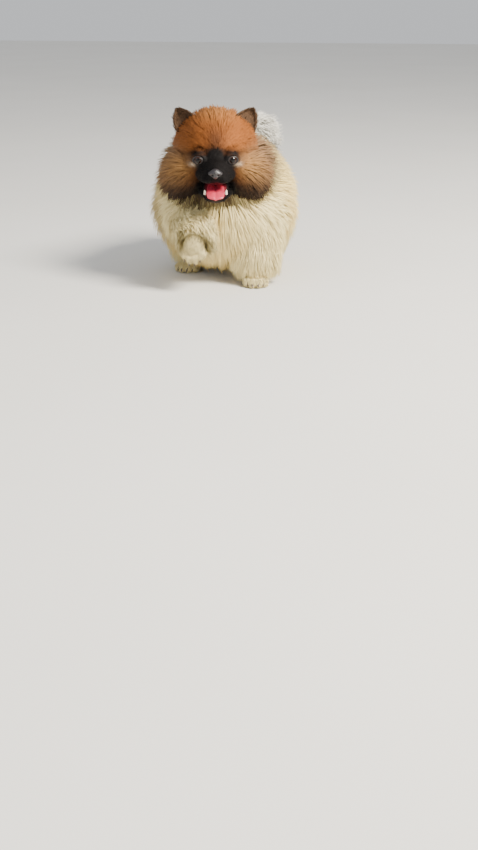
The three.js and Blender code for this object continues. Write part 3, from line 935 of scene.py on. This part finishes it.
CLAW_HORN = material("claw", claw_look, Roughness=0.4)
claws = []
for name in PAWS:
    for x, y in TOES:
        joints = ((x, y - 4, 5.5), (x, y - 8.5, 5.2), (x, y - 11.5, 2.2))
        points, faces = tube_surface(joints, CLAW_RADII, steps=16, sides=12)
        claws.append((from_paw(points, name), faces))
dress(mesh_object("claws", *joined(claws)), CLAW_HORN, "mask_coat")

# %% [markdown]
# ## Ears
#
# The ears are small upright cups, half sunk in the fur. One could bend a leaf and thicken it with Solidify.
# Here one closed sphere is enough: its front half is folded back behind the rim, a wall's thickness from the
# rear half, and both narrow towards the tip. Front and back each get half of the map.

# %% Ears
EAR = {"base": (31, 9, 25), "radii": (15.5, 7, 18), "taper": 0.45, "lean": 32, "turn": 20, "wall": 2.2}
EAR_ROWS, EAR_COLUMNS = 26, 40
EAR_INSIDE = srgb(96, 66, 60)


def ear_surface(side):
    """A leaf-shaped cup: x narrows as 1 - taper h^2 with the height share h, and where y < 0 the sphere is
    turned back to (radius - wall) |y|. It then leans out and turns."""
    d = sphere_grid(EAR_ROWS, EAR_COLUMNS)
    rx, ry, rz = EAR["radii"]
    h = (d[:, 2] + 1) / 2
    x = d[:, 0] * rx * (1 - EAR["taper"] * h**2)
    y = np.where(d[:, 1] > 0, d[:, 1] * ry, -d[:, 1] * (ry - EAR["wall"]))
    points = np.stack([x, y - 0.5, rz * (d[:, 2] + 0.55)], -1)
    points = turned(turned(points, side * EAR["lean"], 1), side * EAR["turn"])
    return from_head(points + np.array(EAR["base"]) * (side, 1, 1)), grid_faces(EAR_ROWS, EAR_COLUMNS)


def ear_map():
    """(x, z) of the sphere's directions, shrunk into the left half of the map for the front and the right
    half for the back"""
    d = sphere_grid(EAR_ROWS, EAR_COLUMNS)
    u = (0.5 + 0.48 * d[:, 0]) * 0.5 + 0.5 * (d[:, 1] > 0)
    return np.stack([u, 0.5 + 0.48 * d[:, 2]], -1)


ears = []
for side, label in BOTH_SIDES:
    points, faces = ear_surface(side)
    inner = to_head(points)[:, 1] < EAR["base"][1] + 1
    colours = np.where(inner[:, None], EAR_INSIDE, DARK_EAR)
    ears.append(mesh_object("ear_" + label, points, faces, colours, ear_map()))
    dress(ears[-1], SKIN, "dark_coat", "ear_" + label)

# %% [markdown]
# ## The coat
#
# A pomeranian has a soft undercoat and long, straight guard hairs that stand off the body, so the coat looks
# like a ball. Blender's own hair is curves or particles, which an export drops, so the hair here is real
# mesh: about a hundred thousand thin closed tufts. The work has four steps: roots strewn over the skin, a
# shape for one tuft, fields that say how the hair lies and how long it is, and the growing itself.
#
# Roots are drawn at random. A triangle is picked by its area times the wanted density, and a point in it by
# two random shares, so that roots have no pattern and crowd where the hair is fine.


# %% Roots on a surface
def strewn(made, number, density):
    """(points, normals, uvs) of roots on a mesh. In a triangle the root is (1 - r) a + r (1 - s) b + r s c,
    with r the square root of a random number and s another."""
    mesh = made.data
    mesh.calc_loop_triangles()
    corners = rows_of(mesh.loop_triangles, "vertices", 3, np.int32)
    loops = rows_of(mesh.loop_triangles, "loops", 3, np.int32)
    where = (rows_of(mesh.vertices, "co", 3) - SHIFT) / MM
    normals = rows_of(mesh.vertices, "normal", 3)
    uv = rows_of(mesh.uv_layers["OFBake"].data, "uv", 2)
    a, b, c = (where[corners[:, k]] for k in range(3))
    area = np.linalg.norm(np.cross(b - a, c - a), axis=1) / 2
    weight = area * density((a + b + c) / 3, normals[corners].mean(1))
    picked = rng.choice(len(corners), number, p=weight / weight.sum())
    r, s = np.sqrt(rng.random(number)), rng.random(number)
    share = np.stack([1 - r, r * (1 - s), r * s], 1)[..., None]
    root = (where[corners[picked]] * share).sum(1)
    normal = (normals[corners[picked]] * share).sum(1)
    normal /= np.linalg.norm(normal, axis=1, keepdims=True)
    return root, normal, (uv[loops[picked]] * share).sum(1)


print("triangles to strew roots on:", len(skin_mesh.polygons) * 2)

# %% [markdown]
# One tuft stands for a few dozen hairs. It leaves its root along the skin's normal and bends over along the
# lie. Tufts near one another lean towards a shared guide, as hair does when it falls in clumps. A flat strip
# would vanish seen from its edge, so a tuft has three sides, stays nearly as wide up to two thirds of its
# length and then runs to a point.

# %% The line of a tuft
LONG_ROWS = (0.0, 0.38, 0.74, 1.0)
SHORT_ROWS = (0.0, 0.55, 1.0)
PER_GUIDE_BATCH = 2000


def unit(vectors, least=1e-9):
    """The vectors over their lengths, where least keeps a vector of no length from dividing by 0"""
    return vectors / (np.linalg.norm(vectors, axis=-1, keepdims=True) + least)


def tuft_lines(root, normal, flow, length, lift, rows):
    """For each t in rows, root + length * (lift (2t - t^2) normal + reach t (0.4 + 0.6t) flow), where
    reach = sqrt(1.12 - lift^2)"""
    reach = np.sqrt(np.clip(1.12 - lift**2, 0.05, 1))
    lines = []
    for t in rows:
        rise, run = lift * (2 * t - t * t), reach * t * (0.4 + 0.6 * t)
        lines.append(root + length * (rise * normal + run * flow))
    return lines


def clumped(lines, root, rows, clump, guides):
    """Each line drawn towards its nearest guide's by the share clump * t^1.5; one root in guides is one"""
    number = len(root)
    chosen = rng.choice(number, max(1, number // guides), replace=False)
    batches = np.array_split(root, max(1, number // PER_GUIDE_BATCH))
    nearest = [((batch[:, None] - root[chosen][None]) ** 2).sum(2).argmin(1) for batch in batches]
    guide = chosen[np.concatenate(nearest)]
    for k, t in enumerate(rows[1:], 1):
        pull = clump * t**1.5
        lines[k] = lines[k] * (1 - pull) + lines[k][guide] * pull
    return lines


print("a long tuft has rings at", LONG_ROWS[:-1], "and its tip at", LONG_ROWS[-1])

# %% The sides of a tuft
CORNERS = (4.2, 2.1, 0.0)
TUFT_FLATNESS = 0.45
SUNK = 0.8


def tuft_faces(number, rings):
    """The triangles of this many tufts: a base, two for each side between rings, and three at the tip,
    each tuft's counted on from the last one's points"""
    top = 3 * rings
    triangles = [(0, 2, 1)]
    for low in range(0, top - 3, 3):
        for c in range(3):
            n = (c + 1) % 3
            triangles += [(low + c, low + n, low + 3 + n), (low + c, low + 3 + n, low + 3 + c)]
    triangles += [(top - 3, top - 2, top), (top - 2, top - 1, top), (top - 1, top - 3, top)]
    starts = (np.arange(number) * (top + 1))[:, None, None]
    return (np.array(triangles)[None] + starts).reshape(-1, 3)


def tuft_points(lines, normal, flow, width, rows):
    """Three corners round each line's point, middle + w / 2 (sin u * side + 0.45 cos u * up), and the tip.
    The width w grows from 0.75 to 1 and falls to 0.72 of the tuft's before the tip."""
    side = np.cross(normal, flow)
    up = np.cross(flow, side)
    shape = np.interp(rows, LONG_ROWS, (0.75, 1.0, 0.72, 0))
    points = []
    for k in range(len(rows) - 1):
        for u in CORNERS:
            across = np.sin(u) * side + TUFT_FLATNESS * np.cos(u) * up
            points.append(lines[k] + across * (width * shape[k])[:, None] / 2)
    return np.stack([*points, lines[-1]], 1)


print("a long tuft has", len(tuft_faces(1, 3)), "triangles and a short one", len(tuft_faces(1, 2)))

# %% [markdown]
# A tuft is darker at its root, where less light reaches, and may have a dark tip, as sable hair has. Its
# place on the map is a tiny patch at its root's place. Thousands of thin blades, each shaded by its own
# sides, would glitter, so the normals are mostly the skin's: the coat then takes light as one soft body.

# %% Tones, map and normals of a tuft
PATCH = 0.0012
OWN_SIDES = 0.45


def tuft_tones(colour, share, tip_tone):
    """colour * (0.68 + 0.32 sqrt(share)), turned to tip_tone by share^1.5, and varied by up to 6 percent"""
    tone = (0.68 + 0.32 * np.sqrt(share)) * np.ones((len(colour), 1, 1))
    tips = share**1.5
    tone = tone * (1 - tips + tips * tip_tone)
    vary = 1 + 0.12 * (rng.random((len(colour), 1, 1)) - 0.5)
    return np.clip(colour[:, None] * tone * vary, 0, 1)


def tuft_map(uv, rows):
    """The root's place plus PATCH times (-1, 0 or 1, 2t - 1) for a ring's corners and (0, 1.2) at the tip"""
    rings = len(rows) - 1
    spread = np.stack([np.tile((-1.0, 0.0, 1.0), rings), 2 * np.repeat(rows[:-1], 3) - 1], -1)
    spread = np.concatenate([spread, [(0.0, 1.2)]]) * PATCH
    return np.clip(uv[:, None] + spread[None], 0.001, 0.999)


def tuft_normals(points, lines, normal, flow, share, soft):
    """soft * (skin's normal + 0.35 share * flow) + OWN_SIDES * the direction out of the tuft, made unit"""
    rings = len(lines) - 1
    outward = points - np.stack([lines[k] for k in np.append(np.repeat(np.arange(rings), 3), rings)], 1)
    outward[:, -1] = lines[-1] - lines[-2]
    smooth_way = soft * (normal[:, None] + 0.35 * flow[:, None] * share)
    return unit(smooth_way + OWN_SIDES * unit(outward), 0)


print("a tuft's patch on the map is", 2 * PATCH, "wide")


# %% Tufts
def tufts(root, normal, flow, length, width, lift, colour, uv, soft, tip_tone, clump, guides, rows):
    """Closed three-sided tufts as (points, faces, colours, uvs, normals), with a ring at each of rows but
    the last, which is the tip. The lie is first laid flat on the skin: flow - (flow . normal) normal."""
    rows = np.array(rows)
    flow = unit(flow - normal * (flow * normal).sum(1, keepdims=True))
    lines = tuft_lines(root, normal, flow, length[:, None], lift[:, None], rows)
    lines = clumped(lines, root, rows, clump, guides)
    lines[0] = lines[0] - normal * SUNK
    points = tuft_points(lines, normal, flow, width, rows)
    share = np.append(np.repeat(rows[:-1], 3), 1.0)[None, :, None]
    colours = tuft_tones(colour, share, tip_tone[:, None, None])
    uvs = tuft_map(uv, rows)
    normals = tuft_normals(points, lines, normal, flow, share, soft[:, None, None])
    faces = tuft_faces(len(root), len(rows) - 1)
    return points.reshape(-1, 3), faces, colours.reshape(-1, 3), uvs.reshape(-1, 2), normals.reshape(-1, 3)


print("the root of a tuft is", SUNK, "mm under the skin")

# %% [markdown]
# The lie is how hair is combed: back over the skull, out and down from the nose over the cheeks, back and
# down over the trunk, along each leg and up the tail. In Blender one would comb it with a brush. Here each
# region has a direction, and a point takes their sum by its shares. Slow waves and a little chance keep it
# from looking machined.

# %% How the hair lies
NOSE_PARTING = (0, -60, -8)
PARTING_WIDTH = 14
WAVES = np.array([(0.11, 0.05, 0.07), (0.06, 0.12, -0.05), (-0.05, 0.07, 0.1)])
WAVE_SHIFTS = (0, 2, 4)
WAVE_SIZE, CHANCE_SIZE = 0.16, 0.14


def face_lie(q, side):
    """Away from the nose and a little back; near an eye also away from it, 3 exp(-(distance / 10)^2)"""
    from_eye = sides(q) - EYE_AT
    gap = np.linalg.norm(from_eye, axis=1, keepdims=True)
    from_eye = from_eye / gap * np.stack([side, np.ones(len(q)), np.ones(len(q))], -1)
    away = q - NOSE_PARTING
    away = away / np.linalg.norm(away, axis=1, keepdims=True) + (0, 0.4, 0)
    return turned(away + 3.0 * np.exp(-((gap / 10) ** 2)) * from_eye, HEAD_TURN)


def body_lies(p, side):
    """(trunk, neck): the trunk's runs back and, low down, steeply down; the neck's falls straight down at
    its front and runs back and down elsewhere"""
    one, none = np.ones(len(p)), np.zeros(len(p))
    below = np.clip(-(p[:, 2] - 101) / 59, 0, 1)
    trunk = np.stack([none, one, -(0.7 + 2.2 * below)], -1)
    high = (p[:, 2] - 131) / 42
    front = ramp(-p[:, 1], 40, 62)
    neck = np.stack([0.3 * side, 1 - 0.9 * front, -(0.7 - 0.4 * high + 0.6 * front)], -1)
    return trunk, neck


def lie_of(p, normal, shares, leg_tangent, tail_tangent):
    """The sum of share * direction over the regions, plus WAVE_SIZE sin(WAVES . p) and a random part"""
    q = to_head(p)
    side = np.clip(q[:, 0] / PARTING_WIDTH, -1, 1)
    one = np.ones(len(p))
    trunk, neck = body_lies(p, side)
    face = face_lie(q, side)
    fields = {
        "trunk": trunk,
        "neck": neck,
        "cranium": turned(np.stack([0.012 * q[:, 0], one, -0.1 * one], -1), HEAD_TURN),
        "face": face,
        "cheek": turned(np.stack([0.5 * side, 0.8 * one, -0.7 * one], -1), HEAD_TURN),
        "muzzle": face,
        "jaw": turned(np.stack([0.3 * side, 0.7 * one, -0.7 * one], -1), HEAD_TURN),
        "leg": leg_tangent + (0, 0.25, 0),
        "paw": np.tile((0.0, -0.8, -0.6), (len(p), 1)),
        "tail": tail_tangent + normal * 0.2 + (0.25, -0.1, 0.1),
    }
    flow = sum(shares[name][:, None] * fields[name] for name in REGIONS)
    wave = np.sin(p @ WAVES + WAVE_SHIFTS)
    return flow + WAVE_SIZE * wave + CHANCE_SIZE * rng.normal(size=p.shape)


print("the lie is blended from", len(REGIONS), "regions")

# %% [markdown]
# Hair is longest on the trunk, neck and cheeks, and only a velvet on the muzzle, round the eyes and on the
# paws. Length, stand and thickness are blended by the shares, too, and no hair grows on the eyes, the nose,
# the mouth or the pads.

# %% Length, stand and thickness of the hair
STAND = {"trunk": 0.68, "neck": 0.62, "cranium": 0.6, "face": 0.34, "cheek": 0.6, "muzzle": 0.25}
STAND |= {"jaw": 0.4, "leg": 0.42, "paw": 0.25, "tail": 0.62}
THICKNESS = {"trunk": 1.0, "neck": 1.2, "cranium": 1.9, "face": 4.2, "cheek": 1.8, "muzzle": 6.0}
THICKNESS |= {"jaw": 3.6, "leg": 1.2, "paw": 3.0, "tail": 2.2}


def blended(table, shares):
    """The sum of share * the table's value over the regions"""
    return sum(shares[name] * table[name] for name in REGIONS)


def length_of(p, shares, tail_along):
    """The regions' lengths blended, times 0.3 to 1 with the distance from an eye, times 0.82 to 1.12 by
    chance"""
    q = to_head(p)
    s = sides(q)
    eye = np.linalg.norm(s - EYE_AT, axis=1)
    temple = ramp(eye, 14, 30) * ramp(q[:, 2] + 0.4 * s[:, 0], -6, 22)
    lengths = {
        "trunk": 46 - 4 * ramp(p[:, 0], 30, 60) - 6 * ramp(-p[:, 2], -60, -40),
        "neck": 40,
        "cranium": 14 + 14 * ramp(q[:, 1], -22, 10),
        "face": 1.8 + 2 * ramp(eye, 8, 14) + 13 * temple,
        "cheek": 12 + 24 * ramp(s[:, 0] + 0.5 * q[:, 1], 14, 36),
        "muzzle": 2.4 + 3.0 * ramp(q[:, 1], -48, -24),
        "jaw": 4 + 10 * ramp(q[:, 1], -46, -20),
        "leg": 16 + 20 * ramp(p[:, 2], 14, 46),
        "paw": 6,
        "tail": 30 + 6 * ramp(tail_along, 0.3, 0.9),
    }
    length = blended(lengths, shares) * (0.3 + 0.7 * ramp(eye, 7, 17))
    return length * (0.82 + 0.3 * rng.random(len(p)))


print("the stand of the hair is between", min(STAND.values()), "and", max(STAND.values()))

# %% Where no hair grows
EYE_OPENING = 6.4
EYE_OPENING_HEIGHT = 0.8
NOSE_MARGIN = 0.6
HAIRLESS_SOLE = 1.4


def bare(p, normal):
    """1 where hair grows and 0 where none does: the eyes' openings, the nose, inside the mouth, with the
    jaw's top and the roof above it, and under the paws"""
    q = to_head(p)
    clear = np.ones(len(p))
    for side, _ in BOTH_SIDES:
        local = turned(q - EYE_AT * (side, 1, 1), -side * GAZE)
        opening = np.hypot(local[:, 0], local[:, 2] / EYE_OPENING_HEIGHT)
        clear *= ~((opening < EYE_OPENING) & (local[:, 1] < 0))
    clear *= np.linalg.norm((q - NOSE[0]) / (np.array(NOSE[1]) + NOSE_MARGIN), axis=1) > 1
    clear *= mouth_weight(p) < 0.3
    jaw_top = (np.abs(q[:, 0]) < 15) & (normal[:, 2] > 0.3) & (q[:, 2] < -33) & (q[:, 1] < -22)
    clear *= ~jaw_top
    roof = (np.abs(q[:, 0]) < 13) & (normal[:, 2] < -0.6) & (q[:, 2] > -34) & (q[:, 1] < -24)
    clear *= ~roof
    for name in PAWS:
        clear *= ~under_paw(p, name, HAIRLESS_SOLE)
    return clear


def density_of(p, normal):
    """The regions' thickness blended, and 0 where no hair grows"""
    return blended(THICKNESS, shares_of(p)[0]) * bare(p, normal)


print("the fields are ready for", len(skin_points), "points of the skin")

# %% [markdown]
# ## Growing the coat
#
# The fields are read once for all roots. A marking is read a little way along each tuft, where its hair
# shows, and not at its root, or every edge of colour would slip back by the hair's length.

# %% Roots and what the fields say there
NUMBER = 100000
FEWER_BUT_WIDER = 1.0
SEEN_AT = 0.38
DARK_TIPPED = 0.45
root, normal, uv = strewn(skin, NUMBER, density_of)
shares, leg_tangent, tail_tangent, tail_along = shares_of(root)
flow = lie_of(root, normal, shares, leg_tangent, tail_tangent)
length = length_of(root, shares, tail_along)
lift = blended(STAND, shares) * (0.85 + 0.3 * rng.random(len(root)))
seen = root + SEEN_AT * length[:, None] * unit(flow - normal * (flow * normal).sum(1, keepdims=True))
colour = markings(seen, shares_of(seen)[0])
width = np.clip(0.42 + 0.023 * length, 0.5, 1.5) * FEWER_BUT_WIDER
sable = np.clip(0.6 * shares["cranium"] + shares["neck"] + shares["cheek"], 0, 1)
tip_tone = 1 - 0.4 * sable * (rng.random(len(root)) < DARK_TIPPED)
soft = 1 - 0.5 * shares["tail"] - 0.7 * (shares["leg"] + shares["paw"])
print("mean length of a tuft:", length.mean().round(1), "mm, mean width:", width.mean().round(2), "mm")

# %% [markdown]
# One mesh of all tufts would be too heavy for one piece, so the coat is sorted by the colour it has, its
# slot, and cut into batches from front to back. Short hair bends little and has one ring less.

# %% Grow it in batches
PIECE = 12000
SHORT = 17.0
GROUND = 0.4
CLUMP, GUIDES = 0.3, 10
SLOT = {"trunk": "cream_coat", "leg": "cream_coat", "paw": "cream_coat", "neck": "sable_coat"}
SLOT |= {"cranium": "tan_coat", "face": "tan_coat", "cheek": "tan_coat"}
SLOT |= {"muzzle": "mask_coat", "jaw": "mask_coat", "tail": "white_coat"}


def coat_look(start):
    """Stored colour times (0.86 + 0.28 noise)"""
    return {"Base Color": (0.86 + 0.28 * start.noise(260.0)).shade(start.stored())}


def batches_of(members):
    """The members with long hair, then those with short, each from front to back, in even batches of at
    most PIECE"""
    order = root[members, 1] + 4000 * (length[members] < SHORT)
    members = members[np.argsort(order, kind="stable")]
    long = int((length[members] >= SHORT).sum())
    halves = [half for half in (members[:long], members[long:]) if len(half)]
    return [batch for half in halves for batch in np.array_split(half, -(-len(half) // PIECE))]


COAT = material("coat", coat_look, Roughness=0.72, Specular_IOR_Level=0.18)
slots = np.array([SLOT[name] for name in REGIONS])[np.array([shares[name] for name in REGIONS]).argmax(0)]
fields = (root, normal, flow, length, width, lift, colour, uv, soft, tip_tone)
grown = 0
for slot in sorted(set(SLOT.values())):
    for part, chosen in enumerate(batches_of(np.flatnonzero(slots == slot))):
        rows = LONG_ROWS if length[chosen[0]] >= SHORT else SHORT_ROWS
        made = tufts(*[field[chosen] for field in fields], CLUMP, GUIDES, rows)
        made[0][:, 2] = np.maximum(made[0][:, 2], GROUND)
        dress(mesh_object(f"{slot}_{part}", *made), COAT, slot)
        grown += len(chosen)
print("tufts:", grown)

# %% [markdown]
# The ears have a short down of their own, which lies up towards the tip and gets shorter there.

# %% Hair of the ears
EAR_TUFTS = 3200
EAR_CLUMP, EAR_GUIDES = 0.3, 8


def even(p, normal):
    """1 everywhere"""
    return np.ones(len(p))


for (side, _), ear in zip(BOTH_SIDES, ears):
    root, normal, uv = strewn(ear, EAR_TUFTS, even)
    up = turned(np.array([(side * 0.5, 0.25, 0.85)]), HEAD_TURN)
    flow = np.tile(up, (len(root), 1)) + 0.18 * rng.normal(size=root.shape)
    length = (6.5 - 2.5 * ramp(to_head(root)[:, 2], 34, 50)) * (0.8 + 0.4 * rng.random(len(root)))
    colour = np.tile(DARK_EAR, (len(root), 1)) * (0.8 + 0.5 * rng.random((len(root), 1)))
    width, lift, soft, tip_tone = (np.full(len(root), value) for value in (0.8, 0.3, 0.4, 1.0))
    fields = (root, normal, flow, length, width, lift, colour, uv, soft, tip_tone)
    made = tufts(*fields, EAR_CLUMP, EAR_GUIDES, SHORT_ROWS)
    dress(mesh_object(ear.name + "_coat", *made), COAT, "dark_coat")

# %% [markdown]
# ## Floor, light and camera
#
# The puppy stands on a plain pale floor. It is one large quad, with a faint noise so that it isn't dead flat
# in colour. Unlike the other pieces, it isn't attached to the puppy's body.

# %% Floor
FLOOR_EDGE = 6000.0


def floor_look(start):
    """Noise between two pale greys"""
    return {"Base Color": start.noise(3.0, 4.0).between(srgb(226, 224, 218), srgb(236, 234, 229))}


edges = np.array([(-1, -1, 0), (1, -1, 0), (1, 1, 0), (-1, 1, 0)]) * FLOOR_EDGE
floor = mesh_object("floor", edges, np.array([(0, 1, 2, 3)]))
floor.data.materials.append(material("floor", floor_look, Roughness=0.8))
print("the floor is", 2 * FLOOR_EDGE * MM, "m wide")

# %% [markdown]
# Sunlight comes from above the puppy's left, in front, and the open sky fills the shade. A Sun lamp would
# give hard edges. A near, square lamp gives soft ones, which suit fur, with a second, weak lamp on the other
# side and a pale world for the sky. Lamps are placed in metres.

# %% Light
AIM = (0, 0, 0.1)
SKY, SKY_STRENGTH = (0.95, 0.97, 1.0, 1), 0.7
world = bpy.data.worlds.new("studio")
bpy.context.scene.world = world
world.use_nodes = True
world.node_tree.nodes["Background"].inputs["Color"].default_value = SKY
world.node_tree.nodes["Background"].inputs["Strength"].default_value = SKY_STRENGTH


def area_light(name, place, size, power, colour):
    """A square light of this size at place, in metres, which faces AIM"""
    lamp = bpy.data.lights.new(name, "AREA")
    lamp.size, lamp.energy, lamp.color = size, power, colour
    made = bpy.data.objects.new(name, lamp)
    made.location = place
    made.rotation_euler = (Vector(AIM) - Vector(place)).to_track_quat("-Z", "Y").to_euler()
    bpy.context.scene.collection.objects.link(made)
    print(name, "light:", power, "W")


area_light("key", (1.5, -0.8, 1.6), 0.7, 150, (1.0, 0.94, 0.84))
area_light("fill", (-1.6, -1.6, 1.2), 1.6, 8, (0.9, 0.92, 1.0))

# %% [markdown]
# The camera stands where the photograph's did: a little to the puppy's left of straight ahead, above it and
# looking down, so that the puppy is small and high in a tall frame. A lens in millimetres is the focal
# length in pixels times the sensor's width over the picture's longer side in pixels.

# %% Camera
CAMERA_AT = (236.0, -1378.4, 349.6)
PITCH, YAW = -21.86 * DEG, -9.12 * DEG
FOCAL_PIXELS, TALL_PIXELS = 1100, 850
SENSOR = 36
forward = Vector((np.sin(YAW) * np.cos(PITCH), np.cos(YAW) * np.cos(PITCH), np.sin(PITCH)))
lens = bpy.data.cameras.new("camera")
lens.lens = FOCAL_PIXELS * SENSOR / TALL_PIXELS
lens.sensor_width = SENSOR
lens.clip_start = 0.01
camera = bpy.data.objects.new("camera", lens)
camera.location = np.array(CAMERA_AT) * MM + SHIFT
camera.rotation_euler = forward.to_track_quat("-Z", "Y").to_euler()
bpy.context.scene.collection.objects.link(camera)
bpy.context.scene.camera = camera
print("lens:", round(lens.lens, 1), "mm")
